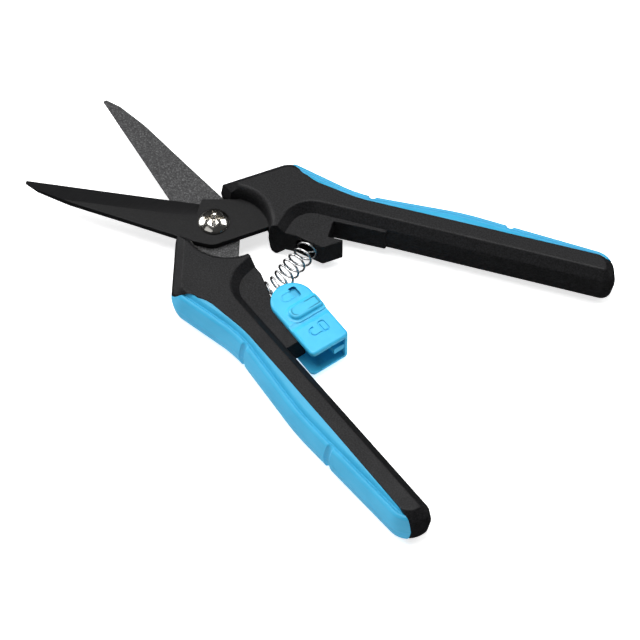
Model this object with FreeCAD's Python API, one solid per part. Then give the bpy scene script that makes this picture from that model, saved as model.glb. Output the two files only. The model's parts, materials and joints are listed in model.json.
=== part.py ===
import FreeCAD, Part
import math
import os

# Floral snips: two pivoting halves, a return spring between them and a sliding lock.
# Millimetres, +Z up. The snips lie flat, held open by their spring.
#
# Each half is drawn in its own frame, with the snips closed: the pivot at x = 0, y = 0,
# the blade towards -X, the handle towards +X and outwards to +Y, and z = 0 at the face
# that it rests on. The lower half is the same drawing turned over about the X axis.

V = FreeCAD.Vector
UP = V(0, 0, 1)
ALONG = V(1, 0, 0)

# --- driving dimensions --------------------------------------------------------------
blade_reach = 55.1          # pivot to blade tip
handle_reach = 110.6        # pivot to the far end of a handle
thickness = 13.0            # handle, from its top face to its bottom face
open_angle = 39.0           # between the halves when the spring holds them open
mid = thickness / 2         # the blades meet in this plane

# --- fits ----------------------------------------------------------------------------
pivot_play = 0.05           # screw shank to blade hole, radial
moulding_play = 0.02        # moulded core to the steel tang inside it
blade_play = 0.05           # each blade's inner face to the middle plane
parting_play = 0.15         # each half's stop face to the closing line
slider_play = 0.15          # lock slider to the rail inside it, each side
hook_play = 0.3             # lock slider to the other half's hook and rail
notch_play = 0.8            # locked slider's web to the notch wall behind the hook
rib_play = 0.1              # lock slider's rib to its groove, each way
spring_play = 0.35          # spring to its seats, radial
thread_play = 0.02          # screw thread to nut and insert, radial

# --- blades --------------------------------------------------------------------------
blade_thick = 1.8
edge_land = 0.2             # steel left standing at the cutting edge
edge_root = 6.0             # cutting edge above the centre line where it meets the shoulder
shoulder_x = -5.5           # shoulder at the root of the cutting edge
shoulder_rise = 0.7         # how far the shoulder stands above the edge
bevel_root = 0.2            # bevel's upper line above the centre line at the shoulder
bevel_tip = -4.9            # the same line level with the tip
boss_depth = 7.7            # back of the blade below the pivot
tang_end = 38.0             # the tang's end inside the handle
tang_width = 3.2
tang_hole_r = 1.1           # moulding holes that lock the tang in its core
tang_hole_xs = (22.0, 33.0)

# --- pivot screw, washer and lock nut ------------------------------------------------
shank_r = 2.5
head_r = 4.3
head_rise = 2.3
head_rim = 0.5              # straight rim under the dome
cross_width = 1.4           # cross recess, one slot
cross_reach = 2.8
cross_depth = 1.6
washer_r = 5.0
washer_thick = 0.5
nut_across = 8.0            # across the flats
nut_thick = 2.5
insert_r = 3.3              # nylon ring that stops the nut from turning
insert_thick = 0.9

# --- handle core ---------------------------------------------------------------------
flare_top = 3.0             # how far the side walls stand out, top edge to middle plane
flare_shoulder = 0.6        # the same, from the flange's level to the middle plane
recess_x = 4.6              # round recess that the other blade's boss swings in
recess_y = -1.8
recess_r = 11.1
recess_shoulder = 0.4       # how far its wall stands out at the flange's level
recess_top = 2.2            # the same, at the top edge
hump_x = 15.2               # the bend between neck and grip
hump_y = 24.7
waist_x = 37.0              # hollow for the thumb
waist_y = 18.7
belly_x = 66.0              # fullest part of the grip
belly_y = 20.1
tail_y = 16.7               # outer corner of the far end
inner_root_y = 8.4          # inner edge of the handle beside the neck
inner_tail_y = 6.5          # inner edge at the far end
neck_x = 20.3               # neck's side that faces the flange

# --- grip ----------------------------------------------------------------------------
grip_start = 12.2           # grip's near end at the middle plane
grip_start_top = 18.3       # the same at the top face
grip_start_y = 20.6
grip_line_root = 15.2       # black to blue line along the top face, beside the waist
grip_line_tail = 13.9       # the same line near the far end
grip_crown = 4.6            # grip's top edge, in from its outer edge
grip_crease = 1.9           # crease between top band and side, in from the outer edge
grip_crease_drop = 1.6      # crease below the top face
grip_side = 0.25            # start of the grip's upright side, in from the outer edge
grip_side_rise = 2.2        # its height above the middle plane
groove_xs = (40.5, 79.5)    # finger grooves across the grip's side
groove_depth = 0.7
groove_half = 1.1

# --- return spring -------------------------------------------------------------------
spring_r = 3.1
wire_r = 0.3
spring_turns = 12
points_per_turn = 12
closed_turns = 1.0          # turns that lie close together at each end
closed_pitch = 0.75
spring_bow = 1.4            # how far the free coils stand inside the arc, midway

# --- flanges, hook and spring seats --------------------------------------------------
seat_x = 27.0               # spring's axis from the pivot
seat_r = spring_r + spring_play
seat_depth = 5.1
seat_wall = 0.45            # thinnest wall over the seat
flange_thick = 2 * (seat_r + seat_wall)
flange_end = 47.0
hook_x = 32.0               # notch wall behind the hook
hook_end = 36.2
hook_drop = 1.85            # hook's belly below the closing line
hook_lip = 2.2              # top of the hook
rail_y = 7.6                # inner edge of the upper half's rail
guide_y = 2.3               # inner edge of the lower half's rail
guide_x = 30.6
belly_start = 23.4          # where both flanges' edges start to lean
groove_y = 4.2              # centre of the slider's guide groove
groove_width = 1.4
guide_depth = 0.7

# --- lock slider ---------------------------------------------------------------------
slider_x = 30.0
slider_length = 23.6
slider_width = 12.2
slider_plate = 1.3
slider_web = 1.4
slider_corner = 1.4
slider_travel = 4.0
slider_low_y = hook_play - rail_y                   # web's outer face
slider_high_y = slider_low_y + slider_width
web_x = hook_x + slider_travel + notch_play         # web's end nearest the pivot
tongue_thick = 2.2
tongue_inset = 0.4          # tongue's end, short of the slider's
rib_x = 39.6
rib_length = 6.8
ridge_x = 40.1              # thumb ridge
ridge_y = -2.25
ridge_length = 9.9
ridge_width = 4.4


def turn_of(a, b):
    """Signed angle from direction a to direction b, seen from above."""
    return math.atan2(a.x * b.y - a.y * b.x, a.x * b.x + a.y * b.y)


def outline(corners, z=0.0, inset=0.0):
    """Closed wire through (x, y, radius) corners, counter-clockwise, moved in by inset."""
    points = [V(c[0], c[1], z) for c in corners]
    count = len(points)
    ways = [(points[(i + 1) % count] - points[i]).normalize() for i in range(count)]
    edges = []
    ends = []
    for i in range(count):
        before, after = ways[i - 1], ways[i]
        turn = turn_of(before, after)
        inward = (V(-before.y, before.x, 0) + V(-after.y, after.x, 0)).normalize()
        corner = points[i] + inward * (inset / math.cos(turn / 2))
        radius = corners[i][2]
        if radius > 0:
            radius = max(radius - inset * math.copysign(1, turn), 0.05)
        cut = radius * math.tan(abs(turn) / 2)
        start, end = corner - before * cut, corner + after * cut
        if cut > 1e-6:
            bow = radius / math.cos(turn / 2) - radius
            middle = corner + (after - before).normalize() * bow
            edges.append(Part.Arc(start, middle, end).toShape())
        ends.append((start, end))
    for i in range(count):
        start, end = ends[i][1], ends[(i + 1) % count][0]
        if start.distanceToPoint(end) > 1e-6:
            edges.append(Part.LineSegment(start, end).toShape())
    return Part.Wire(Part.__sortEdges__(edges))


def plate(corners, low, high, inset=0.0):
    """Flat solid of an outline between two heights."""
    face = Part.Face(outline(corners, low, inset))
    return face.extrude(V(0, 0, high - low))


def stack(corners, levels):
    """Solid through one outline at several (height, inset) levels, with flat walls between."""
    wires = [outline(corners, z, inset) for z, inset in levels]
    return Part.makeLoft(wires, True, True)


def block(x, y, z):
    """Box between two values on each axis."""
    return Part.makeBox(x[1] - x[0], y[1] - y[0], z[1] - z[0], V(x[0], y[0], z[0]))


def mirrored_levels(steps):
    """(distance from the middle plane, inset) steps, from the bottom face to the top."""
    below = [(mid - d, inset) for d, inset in reversed(steps)]
    above = [(mid + d, inset) for d, inset in steps[1:]]
    return below + above


# --- blades --------------------------------------------------------------------------
def blade_corners():
    tip = -blade_reach
    shoulder_y = edge_root + shoulder_rise
    tang_y = (grip_line_root + inner_root_y) / 2
    return [
        (tip, 0.95, 0.3),
        (tip, -0.1, 0.4),
        (tip + 4.4, -2.05, 4),
        (tip + 14.3, -4.0, 30),
        (-22, -5.8, 60),
        (-4, -boss_depth, 8),
        (1.9, -boss_depth, 5),
        (15.0, 2.5, 4),
        (22.0, tang_y - tang_width / 2, 4),
        (tang_end, tang_y - tang_width / 2, 1),
        (tang_end, tang_y + tang_width / 2, 1),
        (16.0, tang_y + tang_width, 8),
        (4.0, shoulder_y + 2.6, 6),
        (shoulder_x, shoulder_y, 0.4),
        (shoulder_x, edge_root, 0),
        (-30, 3.45, 80),
    ]


def bevel_tool():
    """Wedge that grinds the bevel from the blade's outer face down to the cutting edge."""
    inner = mid + blade_play
    outer = inner + blade_thick
    clear = 4
    stations = (
        (shoulder_x, bevel_root, edge_root),
        (-blade_reach - 1, bevel_tip, 0.85),
    )
    wires = []
    for x, top_line, edge in stations:
        section = [
            V(x, top_line, outer),
            V(x, edge, inner + edge_land),
            V(x, edge + clear, inner + edge_land),
            V(x, edge + clear, outer + clear),
            V(x, top_line, outer + clear),
        ]
        wires.append(Part.makePolygon(section + section[:1]))
    return Part.makeLoft(wires, True, True)


def tang_holes(radius):
    """Holes through the tang, which the moulded core fills."""
    tang_y = (grip_line_root + inner_root_y) / 2
    return [Part.makeCylinder(radius, thickness, V(x, tang_y, 0)) for x in tang_hole_xs]


def make_blade():
    inner = mid + blade_play
    blade = plate(blade_corners(), inner, inner + blade_thick)
    pivot = Part.makeCylinder(shank_r + pivot_play, thickness)
    return blade.cut([bevel_tool(), pivot] + tang_holes(tang_hole_r))


def tang_slot():
    """Room for the tang in the moulded core, which also fills the tang's holes."""
    low = mid + blade_play - moulding_play
    high = mid + blade_play + blade_thick + moulding_play
    slot = plate(blade_corners(), low, high, -moulding_play)
    return slot.cut(tang_holes(tang_hole_r - moulding_play))


# --- handle core ---------------------------------------------------------------------
def handle_corners():
    return [
        (neck_x - 0.6, -6, 0),
        (neck_x + 2.2, inner_root_y, 6),
        (handle_reach, inner_tail_y, 3.4),
        (handle_reach, tail_y, 6.8),
        (belly_x, belly_y, 80),
        (waist_x, waist_y, 35),
        (hump_x, hump_y, 6.5),
        (-2.0, 11.5, 0.7),
        (2.6, 8.4, 0),
        (9.0, -6, 0),
    ]


def recess_tool():
    """Round recess around the pivot; its wall leans back towards the faces."""
    half = flange_thick / 2
    centre = V(recess_x, recess_y, 0)
    steps = ((0, 0), (half, recess_shoulder), (mid, recess_top), (mid + 1, recess_top + 1))
    cones = []
    for (d0, out0), (d1, out1) in zip(steps, steps[1:]):
        for sign in (1, -1):
            base = centre + V(0, 0, mid + sign * d0)
            cone = Part.makeCone(recess_r + out0, recess_r + out1, d1 - d0, base, UP * sign)
            cones.append(cone)
    return cones


def grip_region():
    """Room outside the black to blue line; its near end leans away from the middle plane."""
    beyond = hump_y + 10
    reach = mid + 1
    lean = (grip_start_top - grip_start) / mid
    outlines = []
    for distance in (0, reach):
        start = grip_start + lean * distance
        outlines.append([
            (start, beyond, 0),
            (start, grip_start_y, 0.8),
            (waist_x - 13.5, grip_line_root + 2.6, 14),
            (waist_x, grip_line_root, 40),
            (handle_reach + 4, grip_line_tail, 0),
            (handle_reach + 4, beyond, 0),
        ])
    halves = []
    for sign in (1, -1):
        wires = [outline(outlines[0], mid), outline(outlines[1], mid + sign * reach)]
        halves.append(Part.makeLoft(wires, True, True))
    return halves[0].fuse(halves[1])


def handle_body():
    half = flange_thick / 2
    levels = mirrored_levels(((0, 0), (half, flare_shoulder), (mid, flare_top)))
    body = stack(handle_corners(), levels)
    below_parting = block((-20, 60), (-20, parting_play), (-1, thickness + 1))
    return body.cut([below_parting] + recess_tool())


def upper_flange():
    """Flange with the spring seat, the hook that the lock catches, and a short rail."""
    y = parting_play
    corners = [
        (neck_x - 3, y, 0),
        (belly_start, y, 2),
        (hook_x - 0.4, -hook_drop, 1),
        (hook_end, hook_lip - 0.5, 0.3),
        (hook_end, hook_lip, 0.15),
        (hook_x, hook_lip, 0.3),
        (hook_x, rail_y, 0.5),
        (flange_end, rail_y, 0.5),
        (flange_end, inner_root_y + 1.5, 0),
        (neck_x - 3, inner_root_y + 1.5, 0),
    ]
    half = flange_thick / 2
    return plate(corners, mid - half, mid + half)


def lower_flange():
    """Flange with the spring seat and the rail that the lock slider runs on."""
    y = parting_play
    corners = [
        (neck_x - 3, y, 0),
        (belly_start - 0.4, y, 2),
        (guide_x, guide_y, 1.5),
        (flange_end, guide_y, 0.5),
        (flange_end, inner_root_y + 1.5, 0),
        (neck_x - 3, inner_root_y + 1.5, 0),
    ]
    half = flange_thick / 2
    flange = plate(corners, mid - half, mid + half)
    along = (rib_x - slider_travel - rib_play, rib_x + rib_length + rib_play)
    across = (groove_y - groove_width / 2, groove_y + groove_width / 2)
    grooves = []
    for low in (mid - half, mid + half - guide_depth):
        grooves.append(block(along, across, (low, low + guide_depth)))
    return flange.cut(grooves)


def spring_seat():
    """Blind seat, centred on the middle of the arc that the spring follows inside it."""
    arc_drop = (seat_x - math.sqrt(seat_x ** 2 - seat_depth ** 2)) / 2
    floor = V(seat_x - arc_drop, seat_depth, mid)
    return Part.makeCylinder(seat_r, seat_depth + 4, floor, V(0, -1, 0))


def make_core(flange):
    core = handle_body().fuse(flange)
    return core.cut([grip_region(), tang_slot(), spring_seat()]).removeSplitter()


# --- grip ----------------------------------------------------------------------------
def side_y(x):
    """Outer edge of the handle's outline at x."""
    ray = Part.LineSegment(V(x, inner_root_y + 2, 0), V(x, hump_y + 10, 0)).toShape()
    return ray.distToShape(outline(handle_corners()))[1][0][0].y


def groove_tool(x, steps):
    """Round cutter that follows the grip's side from its lower crease to its upper one."""
    radius = (groove_half ** 2 + groove_depth ** 2) / (2 * groove_depth)
    rings = []
    for z, inset in mirrored_levels(steps):
        centre = V(x, side_y(x) - inset + radius - groove_depth, z)
        rings.append(Part.Wire([Part.Circle(centre, UP, radius).toShape()]))
    return Part.makeLoft(rings, True, True)


def make_grip():
    side = (
        (0, 0),
        (grip_side_rise, grip_side),
        (mid - grip_crease_drop, grip_crease),
    )
    crown = ((mid, grip_crown),)
    body = stack(handle_corners(), mirrored_levels(side + crown))
    grip = body.common(grip_region())
    return grip.cut([groove_tool(x, side) for x in groove_xs])


# --- pivot ---------------------------------------------------------------------------
def make_screw():
    seat = mid + blade_play + blade_thick
    end = mid - blade_play - blade_thick - washer_thick - nut_thick - insert_thick
    shank = Part.makeCylinder(shank_r, seat - end, V(0, 0, end))
    rim = Part.makeCylinder(head_r, head_rim, V(0, 0, seat))
    dome_rise = head_rise - head_rim
    ball_r = (head_r ** 2 + dome_rise ** 2) / (2 * dome_rise)
    ball = Part.makeSphere(ball_r, V(0, 0, seat + head_rise - ball_r))
    dome = ball.common(Part.makeCylinder(head_r, dome_rise, V(0, 0, seat + head_rim)))
    screw = shank.fuse([rim, dome])
    floor = seat + head_rise - cross_depth
    half = cross_width / 2
    for x, y in ((cross_reach, half), (half, cross_reach)):
        screw = screw.cut(block((-x, x), (-y, y), (floor, floor + cross_depth + 1)))
    return screw.removeSplitter()


def make_washer():
    top = mid - blade_play - blade_thick
    base = V(0, 0, top - washer_thick)
    ring = Part.makeCylinder(washer_r, washer_thick, base)
    return ring.cut(Part.makeCylinder(shank_r + pivot_play, washer_thick, base))


def make_nut():
    height = nut_thick + insert_thick
    low = mid - blade_play - blade_thick - washer_thick - height
    base = V(0, 0, low)
    corner_r = nut_across / math.sqrt(3)
    turns = [math.pi / 3 * k for k in range(7)]
    corners = [V(corner_r * math.cos(turn), corner_r * math.sin(turn), low) for turn in turns]
    hexagon = Part.Face(Part.makePolygon(corners)).extrude(V(0, 0, height))
    wide = nut_across / 2 + height * math.tan(math.radians(60))
    chamfer = Part.makeCone(nut_across / 2, wide, height, base)
    bore = Part.makeCylinder(shank_r + thread_play, height, base)
    pocket = Part.makeCylinder(insert_r, insert_thick, base)
    return hexagon.common(chamfer).cut([bore, pocket])


def make_insert():
    top = mid - blade_play - blade_thick - washer_thick
    low = top - nut_thick - insert_thick
    ring = Part.makeCylinder(insert_r - thread_play, insert_thick, V(0, 0, low))
    return ring.cut(Part.makeCylinder(shank_r + thread_play, insert_thick, V(0, 0, low)))


# --- lock slider ---------------------------------------------------------------------
def slider_corners():
    """Outline of the slider's plates: round towards the pivot, square at the far end."""
    end = slider_x + slider_length
    nose = slider_width / 2 - 0.01
    return [
        (slider_x, slider_low_y, nose),
        (end, slider_low_y, slider_corner),
        (end, slider_high_y, slider_corner),
        (slider_x, slider_high_y, nose),
    ]


def ridge_corners():
    """Rounded bar across each plate, that the thumb pushes."""
    x0, x1 = ridge_x - ridge_width / 2, ridge_x + ridge_width / 2
    y0, y1 = ridge_y - ridge_length / 2, ridge_y + ridge_length / 2
    round_r = ridge_width / 2 - 0.05
    return [(x0, y0, round_r), (x1, y0, round_r), (x1, y1, round_r), (x0, y1, round_r)]


def slider_rib(sign):
    """Guide rib on a plate's inner face; it runs in the flange's groove."""
    inner = flange_thick / 2 + slider_play
    tip = flange_thick / 2 - guide_depth + rib_play
    half = groove_width / 2 - rib_play
    heights = sorted((mid + sign * inner, mid + sign * tip))
    return block((rib_x, rib_x + rib_length), (groove_y - half, groove_y + half), heights)


def make_slider():
    """Two plates over the flange, a web past its edge, and the tongue that holds the hook."""
    end = slider_x + slider_length
    inner = flange_thick / 2 + slider_play
    outer = inner + slider_plate
    room = (mid - inner, mid + inner)
    web_y = slider_low_y + slider_web
    body = plate(slider_corners(), mid - outer, mid + outer)
    channel = block((slider_x - 1, end + 1), (web_y, slider_high_y + 1), room)
    mouth = block((slider_x - 1, web_x), (slider_low_y - 1, slider_high_y + 1), room)
    body = body.cut([channel, mouth])
    tongue_y = -hook_lip - hook_play
    tongue_z = (mid - tongue_thick / 2, mid + tongue_thick / 2)
    pieces = [block((web_x, end - tongue_inset), (web_y, tongue_y), tongue_z)]
    for sign in (1, -1):
        ridge_z = sorted((mid + sign * outer, mid + sign * mid))
        pieces.append(plate(ridge_corners(), ridge_z[0], ridge_z[1]))
        pieces.append(slider_rib(sign))
    return body.fuse(pieces).removeSplitter()


# --- return spring -------------------------------------------------------------------
def spring_point(t, sweep):
    """Point t turns along the wire, on an arc about the pivot from -sweep to +sweep."""
    free_turns = spring_turns - 2 * closed_turns
    tight = closed_turns * closed_pitch / seat_x
    if t < closed_turns:
        angle = -sweep + tight * t / closed_turns
    elif t > spring_turns - closed_turns:
        angle = sweep - tight * (spring_turns - t) / closed_turns
    else:
        share = (t - closed_turns) / free_turns
        angle = (-sweep + tight) + 2 * (sweep - tight) * share
    ring = spring_r - wire_r
    face = math.radians(open_angle / 2)
    bow = spring_bow * math.cos(math.pi / 2 * min(abs(angle) / face, 1)) ** 2
    across = seat_x - bow + ring * math.cos(2 * math.pi * t)
    height = mid + ring * math.sin(2 * math.pi * t)
    return V(across * math.cos(angle), across * math.sin(angle), height)


def make_spring():
    seat_angle = math.asin((seat_depth - wire_r) / (seat_x + spring_r))
    sweep = math.radians(open_angle / 2) + seat_angle
    steps = spring_turns * points_per_turn
    points = [spring_point(k / points_per_turn, sweep) for k in range(steps + 1)]
    path = Part.BSplineCurve()
    path.interpolate(points)
    wire = Part.Wire([path.toShape()])
    start = Part.Circle(points[0], path.tangent(path.FirstParameter)[0], wire_r)
    section = Part.Wire([start.toShape()])
    return wire.makePipeShell([section], True, True)


# --- assembly ------------------------------------------------------------------------
def open_half(shape, lower):
    """Turn a piece of a closed half to its open place; the lower half is turned over first."""
    placed = shape.copy()
    if lower:
        placed.rotate(V(0, 0, mid), ALONG, 180)
    placed.rotate(V(0, 0, 0), UP, -open_angle / 2 if lower else open_angle / 2)
    return placed


def build():
    blade = make_blade()
    grip = make_grip()
    return {
        "upper_blade": open_half(blade, False),
        "lower_blade": open_half(blade, True),
        "upper_handle_core": open_half(make_core(upper_flange()), False),
        "lower_handle_core": open_half(make_core(lower_flange()), True),
        "upper_grip": open_half(grip, False),
        "lower_grip": open_half(grip, True),
        "lock_slider": open_half(make_slider(), True),
        "pivot_screw": make_screw(),
        "pivot_washer": make_washer(),
        "pivot_nut": make_nut(),
        "nut_insert": make_insert(),
        "return_spring": make_spring(),
    }


def main():
    os.makedirs("parts", exist_ok=True)
    nodes = build()
    whole = FreeCAD.BoundBox()
    for shape in nodes.values():
        whole.add(shape.optimalBoundingBox())
    shift = V(-whole.Center.x, -whole.Center.y, 0)
    for name, shape in nodes.items():
        shape.translate(shift)
        shape.exportStep(f"parts/{name}.step")
        box = shape.BoundBox
        low = [round(v, 2) for v in (box.XMin, box.YMin, box.ZMin)]
        high = [round(v, 2) for v in (box.XMax, box.YMax, box.ZMax)]
        valid = "valid" if shape.isValid() else "NOT VALID"
        print(name, len(shape.Solids), "solid", round(shape.Volume, 1), "mm3", valid, low, high)
    print("pivot at", round(shift.x, 3), round(shift.y, 3))


main()
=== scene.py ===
# %% [markdown]
# # Floral snips
# Small snips for stems: two steel blades on a pivot screw, each with a handle moulded round
# its tang, a coil spring that holds them open and a sliding lock between the handles.
# Everything hangs on the imported frame: it gives the pivot, the open angle and the thickness.
# Each piece below is drawn as its own mesh and finished, and each but the spring is handed to the body that
# carries it.

# %% Load the frame
import json
import math

import bmesh
import bpy
from mathutils import Matrix, Vector


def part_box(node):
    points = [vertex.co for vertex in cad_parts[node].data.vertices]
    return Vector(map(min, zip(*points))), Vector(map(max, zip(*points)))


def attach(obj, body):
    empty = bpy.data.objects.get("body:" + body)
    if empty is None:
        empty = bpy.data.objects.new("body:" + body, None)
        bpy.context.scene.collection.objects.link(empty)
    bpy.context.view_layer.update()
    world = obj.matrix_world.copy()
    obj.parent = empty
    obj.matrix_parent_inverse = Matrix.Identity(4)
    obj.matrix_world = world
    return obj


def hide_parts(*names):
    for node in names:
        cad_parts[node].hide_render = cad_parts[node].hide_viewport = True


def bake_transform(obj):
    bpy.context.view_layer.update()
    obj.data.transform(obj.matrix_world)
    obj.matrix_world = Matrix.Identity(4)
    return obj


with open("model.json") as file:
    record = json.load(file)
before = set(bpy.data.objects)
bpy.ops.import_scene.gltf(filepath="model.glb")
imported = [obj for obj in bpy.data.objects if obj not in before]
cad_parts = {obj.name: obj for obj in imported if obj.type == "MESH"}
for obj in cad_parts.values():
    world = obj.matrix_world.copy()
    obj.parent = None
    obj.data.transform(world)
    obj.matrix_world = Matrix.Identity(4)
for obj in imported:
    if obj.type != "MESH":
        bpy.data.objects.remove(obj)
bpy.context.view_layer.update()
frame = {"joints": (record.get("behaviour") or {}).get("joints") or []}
MM = 0.001
scene = bpy.context.scene
joints = {joint["name"]: joint for joint in frame["joints"]}
pivot = Vector(joints["handle_hinge"]["pos_m"])
slide_way = joints["lock_slide"]["axis"]
half_open = math.atan2(slide_way[1], -slide_way[0])
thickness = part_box("upper_handle_core")[1].z / MM
mid = thickness / 2
print("pivot", pivot, "thickness", round(thickness, 2), "mm")
print("each half stands open by", round(math.degrees(half_open), 2), "degrees")

# %% [markdown]
# ## One drawing for both halves
# The two halves are the same mouldings, one turned over. So each piece is drawn once, in
# millimetres, with the snips closed: the pivot at the origin, the blade towards -X and the
# handle towards +X. `half_place` turns a drawing over for the lower half, and opens it.


# %% From a drawing to the open snips
def half_place(lower):
    """Matrix from a closed half's drawing, in millimetres, to the open snips, in metres."""
    turned_over = Matrix.Identity(4)
    if lower:
        to_middle = Matrix.Translation((0, 0, mid))
        turned_over = to_middle @ Matrix.Rotation(math.pi, 4, "X") @ to_middle.inverted()
    opened = Matrix.Rotation(-half_open if lower else half_open, 4, "Z")
    return Matrix.Translation(pivot) @ opened @ Matrix.Scale(MM, 4) @ turned_over


print("upper half's place", half_place(False))

# %% [markdown]
# ## Outlines with round corners
# A moulding's outline is straight runs and arcs. It could be a Bezier curve, but a list of
# corners with a radius each is what a draughtsman writes, and it can be moved inwards
# without losing a point, which is how the walls below get their slope.


# %% A path through rounded corners
least_bend = 0.05


def rounded_path(corners, inset=0.0, gap=0.4, closed=True, same_steps=0):
    """Points through (x, y, radius) corners, moved to the left by inset.

    same_steps gives every arc as many points, for outlines that are joined to each other.
    """
    spots = [Vector(corner[:2]) for corner in corners]
    last = len(spots) - 1
    path = []
    for i, spot in enumerate(spots):
        if not closed and i in (0, last):
            path.append(spot)
            continue
        before = (spot - spots[i - 1]).normalized()
        after = (spots[(i + 1) % (last + 1)] - spot).normalized()
        turn = math.atan2(before.x * after.y - before.y * after.x, before.dot(after))
        side = math.copysign(1, turn)
        inward = Vector((-before.y - after.y, before.x + after.x)).normalized()
        corner = spot + inward * inset / math.cos(turn / 2)
        radius = corners[i][2]
        if radius == 0:
            path.append(corner)
            continue
        steps = same_steps or max(2, math.ceil(abs(turn) * radius / gap))
        bend = max(radius - inset * side, least_bend)
        start = corner - before * bend * math.tan(abs(turn) / 2)
        centre = start + Vector((-before.y, before.x)) * bend * side
        arm = start - centre
        for k in range(steps + 1):
            angle = turn * k / steps
            x = arm.x * math.cos(angle) - arm.y * math.sin(angle)
            y = arm.x * math.sin(angle) + arm.y * math.cos(angle)
            path.append(centre + Vector((x, y)))
    return path


def edge_levels(points, gap=0.14):
    """(height, inset) levels through (height, inset, radius) points of a wall's section."""
    return [tuple(point) for point in rounded_path(points, gap=gap, closed=False)]


# %% [markdown]
# ## Solids from outlines
# `stack` joins one outline at many heights, so every edge is really round and catches the
# light as a moulded edge does. Bevel modifiers would do it too, but they pinch where two
# curved walls meet. Holes and slots are cut with exact booleans, as the tool would cut them.


# %% Mesh helpers
same_spot = 1e-5
rim_land = 0.12


def as_object(name, form):
    """Object in the scene from a bmesh, with vertices that lie on each other joined."""
    bmesh.ops.remove_doubles(form, verts=form.verts, dist=same_spot)
    mesh = bpy.data.meshes.new(name)
    form.to_mesh(mesh)
    form.free()
    thing = bpy.data.objects.new(name, mesh)
    scene.collection.objects.link(thing)
    return thing


def add_band(form, low, high):
    """Quads between two rings of as many vertices."""
    for k in range(len(low)):
        form.faces.new((low[k - 1], low[k], high[k], high[k - 1]))


def stack(name, corners, levels, gap=0.4):
    """Closed solid through one outline at several (height, inset) levels."""
    form = bmesh.new()
    rings = []
    for height, inset in levels:
        path = rounded_path(corners, inset, gap)
        rings.append([form.verts.new((p.x, p.y, height)) for p in path])
    for low, high in zip(rings, rings[1:]):
        add_band(form, low, high)
    form.faces.new(rings[0][::-1])
    form.faces.new(rings[-1])
    return as_object(name, form)


def slab(name, corners, low, high, edge, gap=0.4):
    """Plate between two heights, with its edges rounded to a radius."""
    rim = edge + rim_land
    section = [(low, rim, 0), (low, 0, edge), (high, 0, edge), (high, rim, 0)]
    return stack(name, corners, edge_levels(section, gap=edge / 3), gap)


def rectangle(x, y, radius=0.0):
    """Corners of a rectangle between two values on each axis."""
    return [(x[0], y[0], radius), (x[1], y[0], radius), (x[1], y[1], radius), (x[0], y[1], radius)]


def block(x, y, z):
    """Plain box for cutting, between two values on each axis."""
    return stack("block", rectangle(x, y), [(z[0], 0), (z[1], 0)])


def lathe(name, section, centre=(0, 0), sides=96):
    """Turned solid through (radius, height) points, from its bottom to its top."""
    form = bmesh.new()
    rings = []
    for radius, height in section:
        ring = []
        for k in range(sides):
            angle = 2 * math.pi * k / sides
            x = centre[0] + radius * math.cos(angle)
            y = centre[1] + radius * math.sin(angle)
            ring.append(form.verts.new((x, y, height)))
        rings.append(ring)
    for low, high in zip(rings, rings[1:]):
        add_band(form, low, high)
    form.faces.new(rings[0][::-1])
    form.faces.new(rings[-1])
    return as_object(name, form)


def tube(name, points, radius, sides=12, closed=False):
    """Round bar along points, with its rings turned as little as possible from one to the next."""
    form = bmesh.new()
    count = len(points)
    across = None
    rings = []
    for i, point in enumerate(points):
        ahead = points[(i + 1) % count] if closed or i < count - 1 else point
        behind = points[i - 1] if closed or i > 0 else point
        along = (ahead - behind).normalized()
        if across is None:
            across = along.orthogonal()
        across = (across - along * across.dot(along)).normalized()
        over = along.cross(across)
        ring = []
        for k in range(sides):
            angle = 2 * math.pi * k / sides
            arm = across * math.cos(angle) + over * math.sin(angle)
            ring.append(form.verts.new(point + arm * radius))
        rings.append(ring)
    for low, high in zip(rings, rings[1:]):
        add_band(form, low, high)
    if closed:
        shift = min(range(sides), key=lambda s: (rings[0][s].co - rings[-1][0].co).length)
        add_band(form, rings[-1], rings[0][shift:] + rings[0][:shift])
    else:
        form.faces.new(rings[0][::-1])
        form.faces.new(rings[-1])
    return as_object(name, form)


# %% [markdown]
# ## Cutting, joining and shading
# Each cutter runs a millimetre past the piece, so that no two faces lie on each other. The
# result is shaded smooth with sharp creases, and weighted normals keep the flats flat.

# %% Cutting and joining
past = 1.0


def settle(thing):
    """Applies the object's modifiers to its mesh."""
    bpy.context.view_layer.update()
    graph = bpy.context.evaluated_depsgraph_get()
    old = thing.data
    mesh = bpy.data.meshes.new_from_object(thing.evaluated_get(graph))
    thing.modifiers.clear()
    thing.data = mesh
    bpy.data.meshes.remove(old)


def carve(target, *tools, operation="DIFFERENCE"):
    """Cuts each tool out of the target, or joins it on, and removes the tool."""
    for tool in tools:
        step = target.modifiers.new("carve", "BOOLEAN")
        step.operation = operation
        step.solver = "EXACT"
        step.object = tool
        settle(target)
        bpy.data.objects.remove(tool)
    return target


def shade(thing, sharp=32):
    """Smooth shading that keeps flat faces flat and real edges crisp."""
    thing.data.shade_smooth()
    thing.data.set_sharp_from_angle(angle=math.radians(sharp))
    weigh = thing.modifiers.new("weigh", "WEIGHTED_NORMAL")
    weigh.keep_sharp = True
    weigh.weight = 80
    settle(thing)


# %% [markdown]
# ## Colours and nodes
# Finishes are written as sRGB hex, as a paint card gives them, and one function turns them
# to the linear values that the shader wants. Pattern sizes are in millimetres: a noise of
# scale s repeats about every 1/s metres, so `per_mm` is all the arithmetic needed. The noise
# is read in object coordinates, so that it goes right through a piece and needs no unwrapping.


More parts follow.
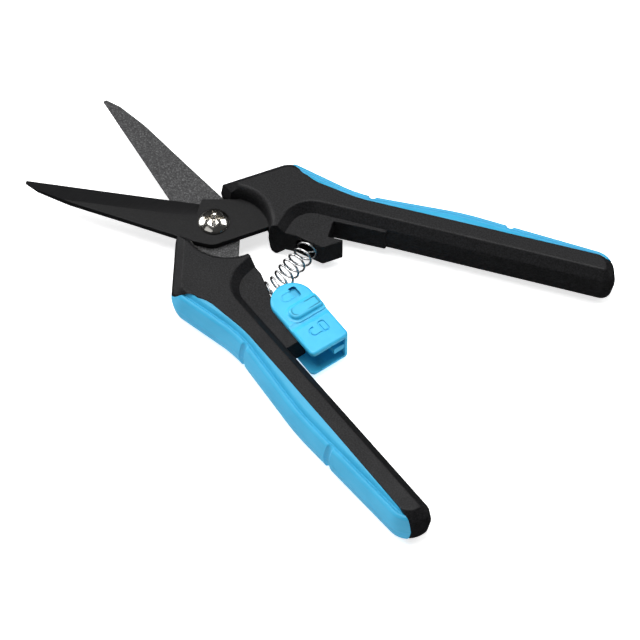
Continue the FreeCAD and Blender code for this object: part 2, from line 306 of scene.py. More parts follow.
# %% Material helpers
def linear(hex_code, alpha=1.0):
    """Linear colour from an sRGB hex code."""
    channels = []
    for i in (1, 3, 5):
        value = int(hex_code[i:i + 2], 16) / 255
        channels.append(value / 12.92 if value <= 0.04045 else ((value + 0.055) / 1.055) ** 2.4)
    return (*channels, alpha)


def per_mm(size):
    """Texture scale for a pattern whose features are size millimetres wide."""
    return 1 / (size * MM)


def add_node(tree, kind, settings=None, links=None):
    """Adds a node; settings are its own properties, links are socket values or other outputs."""
    node = tree.nodes.new(kind)
    for key, value in (settings or {}).items():
        setattr(node, key, value)
    for key, value in (links or {}).items():
        if isinstance(value, bpy.types.NodeSocket):
            tree.links.new(value, node.inputs[key])
        else:
            node.inputs[key].default_value = value
    return node


def new_material(name, **shader):
    """Material with one principled shader; returns it, its tree, the shader and the place."""
    material = bpy.data.materials.new(name)
    material.use_nodes = True
    tree = material.node_tree
    principled = tree.nodes["Principled BSDF"]
    for key, value in shader.items():
        principled.inputs[key.replace("_", " ").title().replace("Ior", "IOR")].default_value = value
    place = add_node(tree, "ShaderNodeTexCoord").outputs["Object"]
    return material, tree, principled, place


def ramp(node, stops):
    """Colour stops of a ramp as (position, colour)."""
    elements = node.color_ramp.elements
    while len(elements) < len(stops):
        elements.new(0.5)
    for element, (position, colour) in zip(elements, stops):
        element.position = position
        element.color = colour


# %% [markdown]
# ## Moulded nylon
# The handles are black glass-filled nylon from a spark-eroded mould. That leaves an even
# grain, about 0.1 mm across: matt, a little lighter where the light grazes it, with hardly
# any colour. At this size the grain is drawn about four times as coarse, so that it shows.

# %% Handle finish
grain_mm = 0.42
nylon, tree, shader, place = new_material(
    "moulded_black_nylon", roughness=0.52, ior=1.53, specular_ior_level=0.22)
grain = add_node(tree, "ShaderNodeTexNoise", links={
    "Vector": place, "Scale": per_mm(grain_mm), "Detail": 2.0})
patches = add_node(tree, "ShaderNodeTexNoise", links={"Vector": place, "Scale": per_mm(7.0), "Detail": 3.0})
tone = add_node(tree, "ShaderNodeValToRGB", links={"Fac": grain.outputs["Fac"]})
ramp(tone, [(0.35, linear("#09090a")), (0.72, linear("#212123"))])
tree.links.new(tone.outputs["Color"], shader.inputs["Base Color"])
gloss = add_node(tree, "ShaderNodeMapRange", links={
    "Value": patches.outputs["Fac"], "From Min": 0.3, "From Max": 0.7, "To Min": 0.46, "To Max": 0.58})
tree.links.new(gloss.outputs["Result"], shader.inputs["Roughness"])
relief = add_node(tree, "ShaderNodeBump", links={
    "Height": grain.outputs["Fac"], "Strength": 0.55, "Distance": 0.05 * MM})
tree.links.new(relief.outputs["Normal"], shader.inputs["Normal"])
print("nylon grain", grain_mm, "mm")

# %% [markdown]
# ## Overmoulded elastomer
# The blue grips are a soft elastomer moulded over the nylon. It has a satin skin, so the
# highlights are broad, and a very slight sheen. Handling leaves faint cloudy patches.

# %% Grip finish
elastomer, tree, shader, place = new_material(
    "satin_blue_elastomer", roughness=0.45, ior=1.5, sheen_weight=0.08, sheen_roughness=0.4)
clouds = add_node(tree, "ShaderNodeTexNoise", links={"Vector": place, "Scale": per_mm(9.0), "Detail": 4.0})
skin = add_node(tree, "ShaderNodeTexNoise", links={"Vector": place, "Scale": per_mm(0.35), "Detail": 2.0})
tone = add_node(tree, "ShaderNodeValToRGB", links={"Fac": clouds.outputs["Fac"]})
ramp(tone, [(0.3, linear("#2fa4d0")), (0.7, linear("#37acd8"))])
tree.links.new(tone.outputs["Color"], shader.inputs["Base Color"])
gloss = add_node(tree, "ShaderNodeMapRange", links={
    "Value": clouds.outputs["Fac"], "From Min": 0.3, "From Max": 0.7, "To Min": 0.4, "To Max": 0.52})
tree.links.new(gloss.outputs["Result"], shader.inputs["Roughness"])
relief = add_node(tree, "ShaderNodeBump", links={
    "Height": skin.outputs["Fac"], "Strength": 0.25, "Distance": 0.02 * MM})
tree.links.new(relief.outputs["Normal"], shader.inputs["Normal"])
print("grip finish", elastomer.name)

# %% [markdown]
# ## Moulded acetal
# The lock slider is acetal: harder and shinier than the grips, so that it slides, and a
# lighter blue. Its mould was lightly textured, which softens the reflections a little.

# %% Slider finish
acetal, tree, shader, place = new_material("moulded_blue_acetal", roughness=0.36, ior=1.48)
clouds = add_node(tree, "ShaderNodeTexNoise", links={"Vector": place, "Scale": per_mm(5.0), "Detail": 3.0})
skin = add_node(tree, "ShaderNodeTexNoise", links={"Vector": place, "Scale": per_mm(0.3), "Detail": 1.0})
tone = add_node(tree, "ShaderNodeValToRGB", links={"Fac": clouds.outputs["Fac"]})
ramp(tone, [(0.3, linear("#3cbcec")), (0.7, linear("#47c6f1"))])
tree.links.new(tone.outputs["Color"], shader.inputs["Base Color"])
relief = add_node(tree, "ShaderNodeBump", links={
    "Height": skin.outputs["Fac"], "Strength": 0.2, "Distance": 0.02 * MM})
tree.links.new(relief.outputs["Normal"], shader.inputs["Normal"])
print("slider finish", acetal.name)

# %% [markdown]
# ## Coated blade steel
# The blades are stainless steel under a dark low-friction coating. The outer face is coated
# smooth. The inner face was blasted first, so its coating sparkles. The bevel was ground
# before coating, and its grinding lines still run across it.

# %% Blade finishes
coated, tree, shader, place = new_material(
    "coated_steel_smooth", roughness=0.42, ior=1.5, specular_ior_level=0.22)
film = add_node(tree, "ShaderNodeTexNoise", links={"Vector": place, "Scale": per_mm(0.5), "Detail": 3.0})
tone = add_node(tree, "ShaderNodeValToRGB", links={"Fac": film.outputs["Fac"]})
ramp(tone, [(0.3, linear("#0d0d0e")), (0.75, linear("#171718"))])
tree.links.new(tone.outputs["Color"], shader.inputs["Base Color"])
relief = add_node(tree, "ShaderNodeBump", links={
    "Height": film.outputs["Fac"], "Strength": 0.2, "Distance": 0.02 * MM})
tree.links.new(relief.outputs["Normal"], shader.inputs["Normal"])

blasted, tree, shader, place = new_material("coated_steel_blasted", roughness=0.5, ior=1.5, metallic=0.2)
grit = add_node(tree, "ShaderNodeTexNoise", links={"Vector": place, "Scale": per_mm(0.45), "Detail": 4.0})
tone = add_node(tree, "ShaderNodeValToRGB", links={"Fac": grit.outputs["Fac"]})
ramp(tone, [(0.32, linear("#1d1d1e")), (0.55, linear("#3c3c3d")), (0.75, linear("#666667"))])
tree.links.new(tone.outputs["Color"], shader.inputs["Base Color"])
relief = add_node(tree, "ShaderNodeBump", links={
    "Height": grit.outputs["Fac"], "Strength": 0.6, "Distance": 0.06 * MM})
tree.links.new(relief.outputs["Normal"], shader.inputs["Normal"])

ground, tree, shader, place = new_material(
    "coated_steel_ground", roughness=0.4, ior=1.5, specular_ior_level=0.22)
lines = add_node(tree, "ShaderNodeMapping", links={"Vector": place, "Scale": (per_mm(0.25), per_mm(6.0), 1)})
streaks = add_node(tree, "ShaderNodeTexNoise", links={
    "Vector": lines.outputs["Vector"], "Scale": 1.0, "Detail": 2.0})
tone = add_node(tree, "ShaderNodeValToRGB", links={"Fac": streaks.outputs["Fac"]})
ramp(tone, [(0.3, linear("#151516")), (0.7, linear("#1c1c1d"))])
tree.links.new(tone.outputs["Color"], shader.inputs["Base Color"])
relief = add_node(tree, "ShaderNodeBump", links={
    "Height": streaks.outputs["Fac"], "Strength": 0.15, "Distance": 0.01 * MM})
tree.links.new(relief.outputs["Normal"], shader.inputs["Normal"])
print("blade finishes", coated.name, blasted.name, ground.name)

# %% [markdown]
# ## Plated and drawn metal
# The screw is polished and nickel-plated: a slightly warm mirror with a faint haze. The
# spring is bright drawn wire, which is rougher along its length. The washer and nut are
# zinc-plated, so they are duller, with a cloudy bluish bloom. Metals keep the default IOR:
# their colour is their reflection. The nut's ring is natural nylon, off-white and satin.

# %% Metal and nut ring finishes
nickel, tree, shader, place = new_material("nickel_plate", base_color=linear("#e4e1db"), metallic=1.0)
haze = add_node(tree, "ShaderNodeTexNoise", links={"Vector": place, "Scale": per_mm(0.8), "Detail": 4.0})
gloss = add_node(tree, "ShaderNodeMapRange", links={
    "Value": haze.outputs["Fac"], "From Min": 0.3, "From Max": 0.7, "To Min": 0.08, "To Max": 0.2})
tree.links.new(gloss.outputs["Result"], shader.inputs["Roughness"])

wire, tree, shader, place = new_material("bright_drawn_wire", base_color=linear("#ececec"), metallic=1.0)
haze = add_node(tree, "ShaderNodeTexNoise", links={"Vector": place, "Scale": per_mm(0.4), "Detail": 2.0})
gloss = add_node(tree, "ShaderNodeMapRange", links={
    "Value": haze.outputs["Fac"], "From Min": 0.3, "From Max": 0.7, "To Min": 0.25, "To Max": 0.4})
tree.links.new(gloss.outputs["Result"], shader.inputs["Roughness"])

zinc, tree, shader, place = new_material("zinc_plate", metallic=1.0)
bloom = add_node(tree, "ShaderNodeTexNoise", links={"Vector": place, "Scale": per_mm(1.2), "Detail": 5.0})
tone = add_node(tree, "ShaderNodeValToRGB", links={"Fac": bloom.outputs["Fac"]})
ramp(tone, [(0.3, linear("#a9adb0")), (0.7, linear("#c9cccd"))])
tree.links.new(tone.outputs["Color"], shader.inputs["Base Color"])
gloss = add_node(tree, "ShaderNodeMapRange", links={
    "Value": bloom.outputs["Fac"], "From Min": 0.3, "From Max": 0.7, "To Min": 0.28, "To Max": 0.42})
tree.links.new(gloss.outputs["Result"], shader.inputs["Roughness"])

natural, tree, shader, place = new_material("natural_nylon", roughness=0.4, ior=1.53)
cloud = add_node(tree, "ShaderNodeTexNoise", links={"Vector": place, "Scale": per_mm(1.5), "Detail": 2.0})
tone = add_node(tree, "ShaderNodeValToRGB", links={"Fac": cloud.outputs["Fac"]})
ramp(tone, [(0.3, linear("#d9d6c8")), (0.7, linear("#e4e2d6"))])
tree.links.new(tone.outputs["Color"], shader.inputs["Base Color"])
print("metal finishes", nickel.name, wire.name, zinc.name, "and", natural.name)

# %% [markdown]
# ## Handing a piece over
# A finished drawing is moved to its place on the open snips. Then it gets its finishes, in
# the order of the slots that its faces name, and it is tied to the body that carries it, so
# that it moves with the joints and takes the place of the plain construction piece.


# %% Handing a piece over
def hand_over(thing, body, nodes, finishes, place=None):
    """Puts a finished drawing in its place, gives it its finish and ties it to its body."""
    if place is not None:
        thing.data.transform(place)
    for finish in finishes:
        thing.data.materials.append(finish)
    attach(thing, body)
    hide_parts(*nodes)
    print(thing.name, "faces", len(thing.data.polygons))


# %% [markdown]
# ## The blades
# Each blade is 1.8 mm plate: a long taper with a nearly straight cutting edge, a spine that
# curves in to the tip, a boss round the pivot and a tang that the handle hides. The bevel is
# ground on the outer face only, and stops at a small shoulder, so that the flat inner faces
# slide on each other. A wedge cuts it, as a grinding wheel's flat side would: the wedge's
# lower line stays a little above the inner face, and that leaves the edge its thin land.

# %% Blade outline
blade_reach = 55.1
blade_thick = 1.8
blade_play = 0.05
shoulder_x = -5.5
edge_root = 6.0
shoulder_rise = 0.7
boss_depth = 7.7
tang_y = 11.8
tang_half = 1.6
pivot_hole_r = 2.55
edge_land = 0.2
inner_face = mid + blade_play
outer_face = inner_face + blade_thick
blade_corners = [
    (-blade_reach, 0.95, 0.3),
    (-blade_reach, -0.1, 0.4),
    (-blade_reach + 4.4, -2.05, 4),
    (-blade_reach + 14.3, -4.0, 30),
    (-22, -5.8, 60),
    (-4, -boss_depth, 8),
    (1.9, -boss_depth, 5),
    (15.0, 2.5, 4),
    (22.0, tang_y - tang_half, 4),
    (36.0, tang_y - tang_half, 1),
    (36.0, tang_y + tang_half, 1),
    (16.0, tang_y + 2 * tang_half, 8),
    (4.0, edge_root + shoulder_rise + 2.6, 6),
    (shoulder_x, edge_root + shoulder_rise, 0.4),
    (shoulder_x, edge_root, 0),
    (-30, 3.45, 80),
]


# %% Grinding the bevel
def bevel_wheel():
    """Wedge that takes the bevel off, from its upper line down to the edge's land."""
    clear = 4.0
    low = inner_face + edge_land
    form = bmesh.new()
    rings = []
    for x, top_line, edge in ((shoulder_x, 0.2, edge_root), (-blade_reach - 1, -4.9, 0.85)):
        section = [
            (x, top_line, outer_face),
            (x, edge, low),
            (x, edge + clear, low),
            (x, edge + clear, outer_face + clear),
            (x, top_line, outer_face + clear),
        ]
        rings.append([form.verts.new(spot) for spot in section])
    add_band(form, rings[0], rings[1])
    form.faces.new(rings[0][::-1])
    form.faces.new(rings[1])
    bmesh.ops.recalc_face_normals(form, faces=form.faces)
    return as_object("bevel_wheel", form)


def make_blade(name):
    """One blade, with its blasted inner face and its ground bevel marked for their finishes."""
    blade = slab(name, blade_corners, inner_face, outer_face, 0.12, gap=0.5)
    carve(blade, bevel_wheel(), lathe("pivot_hole", [(pivot_hole_r, 0), (pivot_hole_r, thickness)]))
    shade(blade, 20)
    flat = 0.98
    leaning = 0.3
    smallest_bevel = 0.5
    for face in blade.data.polygons:
        lean = face.normal.z
        if lean < -flat:
            face.material_index = 1
        elif leaning < lean < flat and face.center.x < shoulder_x and face.area > smallest_bevel:
            face.material_index = 2
    return blade


for lower in (False, True):
    side = "lower" if lower else "upper"
    hand_over(make_blade(f"{side}_blade_steel"), f"{side}_half", [f"{side}_blade"],
              [coated, blasted, ground], half_place(lower))

# %% [markdown]
# ## The handle cores
# A core's walls lean back from the middle plane, where its two mould halves met, and round
# over on to a flat top. The blades' boss turns in a round recess at the neck, whose rims are
# broadly rounded. The grip's room is cut from the core's outer side, along a line that drifts
# back towards both faces, and the same room trims the grip, so the two always fit.

# %% Core outline and walls
handle_reach = 110.6
parting_play = 0.15
flange_half = 3.9
flare_top = 3.0
flare_shoulder = 0.6
recess_centre = (4.6, -1.8)
recess_r = 11.1
recess_shoulder = 0.4
recess_rim = 2.0
top_round = 0.8
handle_corners = [
    (19.7, -6, 0),
    (22.5, 8.4, 6),
    (handle_reach, 6.5, 3.4),
    (handle_reach, 16.7, 6.8),
    (66.0, 20.1, 80),
    (37.0, 18.7, 35),
    (15.2, 24.7, 6.5),
    (-2.0, 11.5, 0.7),
    (2.6, 8.4, 0),
    (9.0, -6, 0),
]


grip_start = 12.2
grip_start_lean = 6.1
grip_outside = 34.7
grip_beyond = handle_reach + 4


def grip_line(distance):
    """Corners of the room outside the core's edge, at a distance from the middle plane."""
    start = grip_start + grip_start_lean * distance / mid
    return [
        (start, grip_outside, 0),
        (start, 20.6, 3.0),
        (23.5, 17.8, 14),
        (37.0, 15.2, 40),
        (grip_beyond, 13.9, 0),
        (grip_beyond, grip_outside, 0),
    ]


def grip_room(name, inset):
    """Everything outside the core's edge, whose near end leans away from the middle plane."""
    form = bmesh.new()
    reach = mid + past
    rings = []
    for offset in (-reach, 0, reach):
        path = rounded_path(grip_line(abs(offset)), inset, same_steps=12)
        rings.append([form.verts.new((p.x, p.y, mid + offset)) for p in path])
    for low, high in zip(rings, rings[1:]):
        add_band(form, low, high)
    form.faces.new(rings[0][::-1])
    form.faces.new(rings[-1])
    return as_object(name, form)


def both_ways(steps, gap=0.14):
    """Levels from the bottom face to the top through (distance from the middle, inset, radius)."""
    below = [(mid - step[0], step[1], step[2]) for step in reversed(steps)]
    above = [(mid + step[0], step[1], step[2]) for step in steps[1:]]
    return edge_levels(below + above, gap)


def recess_cutter():
    """Turned cutter that flares at the faces, to round the recess's rims broadly."""
    rim = mid + 0.03
    shoulder_r = recess_r + recess_shoulder
    flare_r = shoulder_r + 3.4
    wall = [
        (0, recess_r, 0.01),
        (flange_half, shoulder_r, 1.0),
        (rim, shoulder_r + 0.6, recess_rim),
        (rim + 0.05, flare_r, 0.01),
        (rim + 1, flare_r, 0),
    ]
    section = [(radius, height) for height, radius in both_ways(wall)]
    return lathe("recess", section, recess_centre, sides=128)


def seat_cutter():
    """Blind hole for one end of the spring, straight, midway across the spring's short arc."""
    arc_drop = (spring_arc - math.sqrt(spring_arc ** 2 - seat_depth ** 2)) / 2
    axis_x = spring_arc - arc_drop
    ends = [Vector((axis_x, seat_depth, mid)), Vector((axis_x, -4, mid))]
    return tube("seat", ends, seat_r, sides=48)


def moulded_walls():
    """The handle's whole outline, with leaning walls, before anything is cut from it."""
    walls = [
        (0, 0, 0.01),
        (flange_half, flare_shoulder, 1.2),
        (mid, flare_top, top_round),
        (mid, flare_top + 0.42, 0),
    ]
    return stack("moulding", handle_corners, both_ways(walls, gap=0.2), gap=0.6)


print("handle outline", len(rounded_path(handle_corners, gap=0.6)), "points")

# %% [markdown]
# ## Flanges and hook
# Thinner flanges stand on the necks' inner side. Both hold an end of the spring. The lower
# one is the rail for the lock slider, with a guide groove in each face. The upper one ends in
# the hook that the slider catches. Each flange is a plate that is joined on to the core.

# %% The two cores
spring_arc = 27.0
seat_depth = 5.1
seat_r = 3.45
flange_end = 47.0
upper_flange = [
    (17.3, parting_play, 0),
    (23.4, parting_play, 2),
    (31.6, -1.85, 1.0),
    (36.2, 1.7, 0.3),
    (36.2, 2.2, 0.15),
    (32.0, 2.2, 0.3),
    (32.0, 7.6, 0.5),
    (flange_end, 7.6, 0.5),
    (flange_end, 9.9, 0.3),
    (17.3, 9.9, 0),
]
lower_flange = [
    (17.3, parting_play, 0),
    (23.0, parting_play, 2),
    (30.6, 2.3, 1.5),
    (flange_end, 2.3, 0.5),
    (flange_end, 9.9, 0.3),
    (17.3, 9.9, 0),
]
guide_x = (35.5, 46.5)
guide_y = (3.5, 4.9)
guide_depth = 0.7


def make_core(name, flange, guided):
    """One handle core with its flange, its spring seat and, on the rail, its guide grooves."""
    core = moulded_walls()
    core.name = name
    below_parting = block((-20, 60), (-20, parting_play), (-past, thickness + past))
    carve(core, below_parting, recess_cutter(), grip_room("beyond", 0))
    low, high = mid - flange_half, mid + flange_half
    carve(core, slab("flange", flange, low, high, 0.25), operation="UNION")
    carve(core, seat_cutter())
    if guided:
        for z in ((low - past, low + guide_depth), (high - guide_depth, high + past)):
            carve(core, block(guide_x, guide_y, z))
    shade(core)
    return core


for lower, flange in ((False, upper_flange), (True, lower_flange)):
    side = "lower" if lower else "upper"
    hand_over(make_core(f"{side}_core_moulding", flange, lower), f"{side}_half",
              [f"{side}_handle_core"], [nylon], half_place(lower))

# %% [markdown]
# ## The grips
# The grip is one long cushion: a thin land beside the core, a soft crease, then a rounded
# bulge and the side. Two shallow grooves cross the side, and stop at the creases. It is drawn
# as one outline stacked through many levels, then cut to the core's edge with a hair's seam.

# %% Grip sections
grip_side = [
    (0, 0, 0.01),
    (2.4, 0.3, 8.0),
    (5.1, 1.0, 1.2),
    (5.35, 1.9, 0.5),
]
grip_crown = [
    (4.95, 2.5, 0.25),
    (6.0, 3.2, 1.2),
    (mid, 4.6, 0.6),
    (mid, 5.0, 0),
]
groove_xs = (40.5, 79.5)
groove_depth = 0.7
groove_half = 1.1
groove_sides = 40
seam = 0.03


def outer_edge(x):
    """Y of the handle's outer edge at x, from its drawn path."""
    path = [p for p in rounded_path(handle_corners) if p.y > 14]
    near = min(path, key=lambda p: abs(p.x - x))
    i = path.index(near)
    other = path[i - 1] if near.x < x else path[i + 1]
    share = (x - near.x) / (other.x - near.x)
    return near.y + (other.y - near.y) * share


def groove_cutter(x):
    """Round bar that leans in with the grip's side, and stops at the creases."""
    radius = (groove_half ** 2 + groove_depth ** 2) / (2 * groove_depth)
    form = bmesh.new()
    rings = []
    for height, inset in both_ways(grip_side):
        centre_y = outer_edge(x) - inset + radius - groove_depth
        ring = []
        for k in range(groove_sides):
            angle = 2 * math.pi * k / groove_sides
            spot = (x + radius * math.cos(angle), centre_y + radius * math.sin(angle), height)
            ring.append(form.verts.new(spot))
        rings.append(ring)
    for low, high in zip(rings, rings[1:]):
        add_band(form, low, high)
    form.faces.new(rings[0][::-1])
    form.faces.new(rings[-1])
    return as_object("groove", form)


def make_grip(name):
    """One cushion, cut to the room that its core leaves, with its grooves."""
    grip = stack(name, handle_corners, both_ways(grip_side + grip_crown, gap=0.16), gap=0.6)
    carve(grip, grip_room("room", seam), operation="INTERSECT")
    carve(grip, *[groove_cutter(x) for x in groove_xs])
    shade(grip, 40)
    return grip


for lower in (False, True):
    side = "lower" if lower else "upper"
    hand_over(make_grip(f"{side}_grip_cushion"), f"{side}_half", [f"{side}_grip"],
              [elastomer], half_place(lower))

# %% [markdown]
# ## The lock slider
# The slider is one moulding: two plates over the rail, joined past the hook's way by a web,
# with a tongue that fills the hook's mouth when locked. A thumb ridge stands on each plate,
# with a hollow behind it, and shallow padlocks show which way is which. The padlocks and
# the hollow are cut from the real surface, so they shade as grooves do.

# %% Slider drawing
plate_inner = 4.05
plate_outer = 5.35
slider_x = (30.0, 53.6)
slider_y = (-7.3, 4.9)
nose_r = 6.08
tail_r = 1.4
slider_corners = [
    (slider_x[0], slider_y[0], nose_r),
    (slider_x[1], slider_y[0], tail_r),
    (slider_x[1], slider_y[1], tail_r),
    (slider_x[0], slider_y[1], nose_r),
]
web_x = 36.8
web_y = -5.9
tongue_y = -2.5
tongue_half = 1.1
ridge_corners = [(37.9, -7.2, 1.2), (42.3, -7.2, 1.2), (42.3, 2.7, 2.15), (37.9, 2.7, 2.15)]
ridge_section = [
    (plate_outer - 0.4, -0.8, 0),
    (plate_outer + 0.02, -0.8, 0.02),
    (plate_outer + 0.25, 0, 0.6),
    (mid, 0.2, 0.8),
    (mid, 1.05, 0),
]
rib_x = (39.6, 46.4)
rib_y = (3.6, 4.8)
rib_low = 3.3
hollow_x = 43.5
hollow_r = 2.6
hollow_depth = 0.35
line_r = 0.34
line_sink = 0.12
closed_body = rectangle((32.6, 35.7), (-3.9, -2.1), 0.5)
closed_shackle = [(33.0, -2.2, 0), (32.9, 1.1, 1.2), (35.5, 1.1, 1.2), (35.4, -2.2, 0)]
open_body = rectangle((45.9, 49.2), (-3.9, -2.3), 0.5)
open_shackle = [(48.8, -2.3, 0), (49.1, 1.2, 1.3), (46.3, 1.2, 1.3), (46.35, -0.5, 0)]


def line_cutters(height):
    """Round cutters along the padlocks' lines, level with a plate's face."""
    cutters = []
    for corners, closed in ((closed_body, True), (closed_shackle, False),
                            (open_body, True), (open_shackle, False)):
        path = [Vector((p.x, p.y, height)) for p in rounded_path(corners, gap=0.15, closed=closed)]
        spots = [p for i, p in enumerate(path) if i == 0 or (p - path[i - 1]).length > 1e-4]
        if closed and (spots[0] - spots[-1]).length < 1e-4:
            spots.pop()
        cutters.append(tube("line", spots, line_r, sides=10, closed=closed))
    return cutters


def slider_body():
    """Two plates joined by the web, with the tongue standing on it."""
    section = [
        (0, 0, 0.01),
        (plate_outer, 0, 0.75),
        (plate_outer, 0.9, 0),
    ]
    body = stack("lock_slider_moulding", slider_corners, both_ways(section, gap=0.12), gap=0.3)
    room = (mid - plate_inner, mid + plate_inner)
    channel = block((slider_x[0] - past, slider_x[1] + past), (web_y, slider_y[1] + past), room)
    mouth = block((slider_x[0] - past, web_x), (slider_y[0] - past, slider_y[1] + past), room)
    carve(body, channel, mouth)
    tongue_corners = rectangle((web_x + 0.01, slider_x[1] - 0.4), (web_y - 0.5, tongue_y), 0.25)
    tongue = slab("tongue", tongue_corners, mid - tongue_half, mid + tongue_half, 0.2)
    return carve(body, tongue, operation="UNION")


def thumb_ridge(sign):
    """Ridge on one plate, kept just inside the slider's own outline."""
    levels = [(mid + sign * height, inset) for height, inset in edge_levels(ridge_section, gap=0.1)]
    ridge = stack("ridge", ridge_corners, sorted(levels), gap=0.25)
    keep = stack("keep", slider_corners, [(-past, 0.03), (thickness + past, 0.03)])
    return carve(ridge, keep, operation="INTERSECT")


def make_slider():
    """The whole slider, the same on both faces."""
    slider = slider_body()
    for sign in (1, -1):
        axis_height = mid + sign * plate_outer + sign * (hollow_r - hollow_depth)
        ends = [Vector((hollow_x, y, axis_height)) for y in (-9, 8)]
        carve(slider, tube("hollow", ends, hollow_r, sides=64))
    for sign in (1, -1):
        carve(slider, thumb_ridge(sign), operation="UNION")
        low, high = sorted((mid + sign * (plate_inner + 0.3), mid + sign * rib_low))
        carve(slider, block(rib_x, rib_y, (low, high)), operation="UNION")
        carve(slider, *line_cutters(mid + sign * (plate_outer - line_sink)))
    shade(slider, 38)
    return slider


hand_over(make_slider(), "lock_slider", ["lock_slider"], [acetal], half_place(True))

# %% [markdown]
# ## The pivot
# A domed cross-head screw goes down through both blades and a washer into a lock nut, whose
# pale nylon ring grips the thread. The head is turned, so it is a lathed section. The cross
# is pressed, with leaning walls, and the screw stopped wherever it was tight.

# %% Pivot parts
shank_r = 2.5
head_r = 4.3
head_rise = 2.3
head_rim = 0.5
screw_end = 0.75
dome_steps = 26
dome_start = 0.985
cross_turn = 35
cross_depth = 1.6
cross_lean = 0.45
slot_half = (2.95, 0.8)
washer_low = 4.15
washer_r = 5.0
nut_across = 8.0
insert_r = 3.28
insert_thick = 0.9
pivot_place = Matrix.Translation(pivot) @ Matrix.Scale(MM, 4)


def make_screw():
    """Turned screw: shank, flat under the head, rim and dome."""
    dome_rise = head_rise - head_rim
    ball_r = (head_r ** 2 + dome_rise ** 2) / (2 * dome_rise)
    ball_z = outer_face + head_rise - ball_r
    section = [
        (shank_r - 0.35, screw_end),
        (shank_r, screw_end + 0.35),
        (shank_r, outer_face - 0.01),
        (head_r - 0.12, outer_face),
        (head_r, outer_face + 0.12),
        (head_r, outer_face + head_rim - 0.1),
    ]
    reach = math.asin(head_r / ball_r)
    for k in range(1, dome_steps + 1):
        lean = reach * (1 - k / dome_steps) * dome_start
        section.append((max(ball_r * math.sin(lean), 0.02), ball_z + ball_r * math.cos(lean)))
    return lathe("pivot_screw_turned", section, sides=128)


def cross_cutters():
    """Two leaning slots and a centre cone, turned to where the screw stopped."""
    floor = outer_face + head_rise - cross_depth
    top = outer_face + head_rise + 0.5
    turn = Matrix.Rotation(math.radians(cross_turn), 4, "Z")
    cutters = []
    for x, y in (slot_half, slot_half[::-1]):
        slot_levels = [(floor, cross_lean), (top, 0)]
        cutters.append(stack("slot", rectangle((-x, x), (-y, y), 0.2), slot_levels, gap=0.1))
    cutters.append(lathe("centre", [(0.5, floor - 0.3), (1.35, top)], sides=48))
    for cutter in cutters:
        cutter.data.transform(turn)
    return cutters


screw = carve(make_screw(), *cross_cutters())
shade(screw, 30)
hand_over(screw, "lower_half", ["pivot_screw"], [nickel], pivot_place)

washer_section = [
    (washer_r - 0.06, washer_low),
    (washer_r, washer_low + 0.08),
    (washer_r, washer_low + 0.38),
    (washer_r - 0.12, washer_low + 0.5),
]
washer = lathe("pivot_washer_stamped", washer_section)
carve(washer, lathe("bore", [(shank_r + 0.05, 0), (shank_r + 0.05, thickness)]))
shade(washer)
hand_over(washer, "lower_half", ["pivot_washer"], [zinc], pivot_place)

# %% Lock nut and its ring
corner_r = nut_across / math.sqrt(3)
hexagon = []
for k in range(6):
    angle = math.pi / 3 * k
    hexagon.append((corner_r * math.cos(angle), corner_r * math.sin(angle), 0.15))
nut = stack("pivot_nut_forged", hexagon, [(screw_end, 0), (washer_low, 0)], gap=0.05)
nut_height = washer_low - screw_end
wide = nut_across / 2 + nut_height * math.tan(math.radians(60))
chamfer = lathe("chamfer", [(nut_across / 2, screw_end - 0.001), (wide, washer_low + 0.01)])
carve(nut, chamfer, operation="INTERSECT")
carve(nut, lathe("bore", [(shank_r + 0.02, 0), (shank_r + 0.02, thickness)]),
      lathe("pocket", [(insert_r + 0.02, 0), (insert_r + 0.02, screw_end + insert_thick)]))
shade(nut)
hand_over(nut, "lower_half", ["pivot_nut"], [zinc], pivot_place)

ring_section = [
    (insert_r - 0.15, screw_end),
    (insert_r, screw_end + 0.15),
    (insert_r, screw_end + insert_thick),
]
ring = lathe("nut_ring_nylon", ring_section)
carve(ring, lathe("bore", [(shank_r + 0.02, 0), (shank_r + 0.02, thickness)]))
shade(ring)
hand_over(ring, "lower_half", ["nut_insert"], [natural], pivot_place)

# %% [markdown]
# ## The return spring
# The spring is coiled wire, bent on an arc about the pivot between its two seats. Its end
# turns lie close together, and the free coils between them bow in a little towards the
# pivot. A curve object with a bevel would draw it too; here it is one mesh tube, drawn as
# the spring stands with the snips open. The real spring bends and shortens as the halves close.

# %% Spring wire
spring_r = 3.1
wire_r = 0.3
spring_turns = 12
closed_turns = 1.0
closed_pitch = 0.75
spring_bow = 1.4
rings_per_turn = 24


def spring_point(t, sweep):
    """Point t turns along the wire, on an arc about the pivot from -sweep to +sweep."""
    tight = closed_turns * closed_pitch / spring_arc
    if t < closed_turns:
        angle = -sweep + tight * t / closed_turns
    elif t > spring_turns - closed_turns:
        angle = sweep - tight * (spring_turns - t) / closed_turns
    else:
        share = (t - closed_turns) / (spring_turns - 2 * closed_turns)
        angle = (-sweep + tight) + 2 * (sweep - tight) * share
    coil = spring_r - wire_r
    bow = spring_bow * math.cos(math.pi / 2 * min(abs(angle) / half_open, 1)) ** 2
    across = spring_arc - bow + coil * math.cos(2 * math.pi * t)
    height = mid + coil * math.sin(2 * math.pi * t)
    return Vector((across * math.cos(angle), across * math.sin(angle), height))


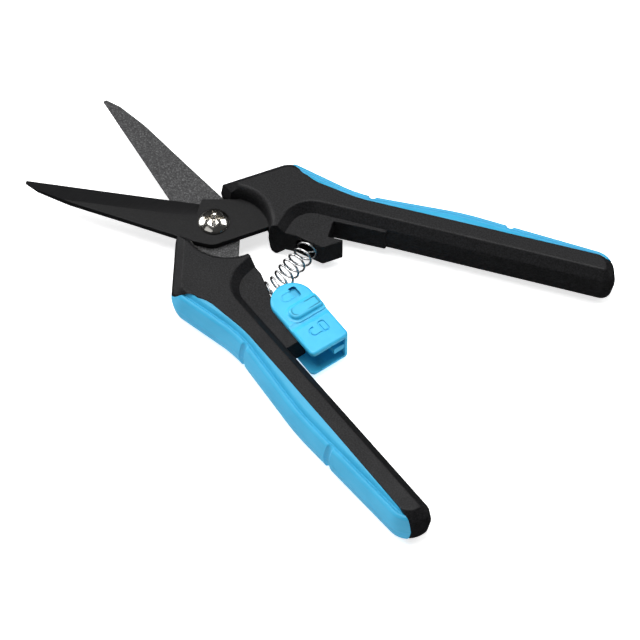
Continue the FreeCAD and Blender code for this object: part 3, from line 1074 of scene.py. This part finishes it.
seat_angle = math.asin((seat_depth - wire_r) / (spring_arc + spring_r))
sweep = half_open + seat_angle
wire_points = [spring_point(k / rings_per_turn, sweep) for k in range(spring_turns * rings_per_turn + 1)]
spring = tube("return_spring_wire", wire_points, wire_r, sides=12)
spring.data.shade_smooth()
spring.data.transform(pivot_place)
spring.data.materials.append(wire)
spring_ends = []
for sign in (-1, 1):
    angle = sign * half_open
    spring_ends.append(pivot + Vector((math.cos(angle), math.sin(angle), 0)) * spring_arc * MM)
    spring_ends[-1].z = mid * MM
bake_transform(spring)
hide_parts("return_spring")
print(spring.name, "faces", len(spring.data.polygons))

# %% [markdown]
# ## Studio
# A pale floor under a broad soft sky of light, with four large soft boxes. The boxes make
# the highlights along the grips and on the screw's dome. The floor glows a little, like a
# light table, so the shadow is faint. It isn't seen in reflections, and the sky is darker
# towards the horizon, so the black walls stay dark.

# %% Floor
floor_paint, tree, shader, place = new_material(
    "lit_white_table", roughness=0.9, emission_color=(1, 1, 1, 1), emission_strength=0.7)
mottle = add_node(tree, "ShaderNodeTexNoise", links={"Vector": place, "Scale": per_mm(40), "Detail": 3.0})
tone = add_node(tree, "ShaderNodeValToRGB", links={"Fac": mottle.outputs["Fac"]})
ramp(tone, [(0.3, linear("#f6f6f6")), (0.7, linear("#fbfbfb"))])
tree.links.new(tone.outputs["Color"], shader.inputs["Base Color"])
floor_form = bmesh.new()
bmesh.ops.create_grid(floor_form, x_segments=1, y_segments=1, size=3.0)
floor = as_object("studio_floor", floor_form)
floor.location.z = -0.3 * MM
floor.data.materials.append(floor_paint)
floor.visible_glossy = False

# %% Light
world = bpy.data.worlds.new("soft_sky")
scene.world = world
world.use_nodes = True
heights = add_node(world.node_tree, "ShaderNodeTexCoord").outputs["Generated"]
height = add_node(world.node_tree, "ShaderNodeSeparateXYZ", links={"Vector": heights}).outputs["Z"]
tent = add_node(world.node_tree, "ShaderNodeMapRange", links={
    "Value": height, "From Min": -0.5, "From Max": 0.7, "To Min": 0.12, "To Max": 0.85})
sky = world.node_tree.nodes["Background"]
world.node_tree.links.new(tent.outputs["Result"], sky.inputs["Strength"])


def soft_box(name, azimuth, elevation, distance, size, power):
    """Square area light aimed at the snips, placed by its angles in degrees."""
    data = bpy.data.lights.new(name, "AREA")
    data.size = size
    data.energy = power
    light = bpy.data.objects.new(name, data)
    a, e = math.radians(azimuth), math.radians(elevation)
    way = Vector((math.cos(e) * math.cos(a), math.cos(e) * math.sin(a), math.sin(e)))
    light.location = way * distance
    light.rotation_euler = way.to_track_quat("Z", "Y").to_euler()
    scene.collection.objects.link(light)


soft_box("top_box", azimuth=170, elevation=80, distance=1.3, size=0.9, power=16)
soft_box("side_box", azimuth=185, elevation=22, distance=1.2, size=0.7, power=7)
soft_box("front_box", azimuth=-100, elevation=35, distance=1.2, size=0.9, power=1.5)
soft_box("back_box", azimuth=60, elevation=40, distance=1.2, size=0.5, power=4)

# %% [markdown]
# ## Camera
# The camera looks down across the snips from the handles' side, through a long lens, so
# the perspective is gentle. It is placed by the point it looks at and its angles.

# %% Camera
look_at = pivot + Vector((0.04195, -0.00906, 0.0065))
camera_turn = math.radians(34.885)
camera_rise = math.radians(55.75)
camera_distance = 0.6965
camera_data = bpy.data.cameras.new("camera")
camera_data.lens = 145.32
camera_data.sensor_width = 36
camera = bpy.data.objects.new("camera", camera_data)
back = Vector((
    math.cos(camera_rise) * math.sin(camera_turn),
    -math.cos(camera_rise) * math.cos(camera_turn),
    math.sin(camera_rise),
))
camera.location = look_at + back * camera_distance
camera.rotation_euler = (math.pi / 2 - camera_rise, 0, camera_turn)
scene.collection.objects.link(camera)
scene.camera = camera
scene.view_settings.view_transform = "Standard"
print("camera at", camera.location)
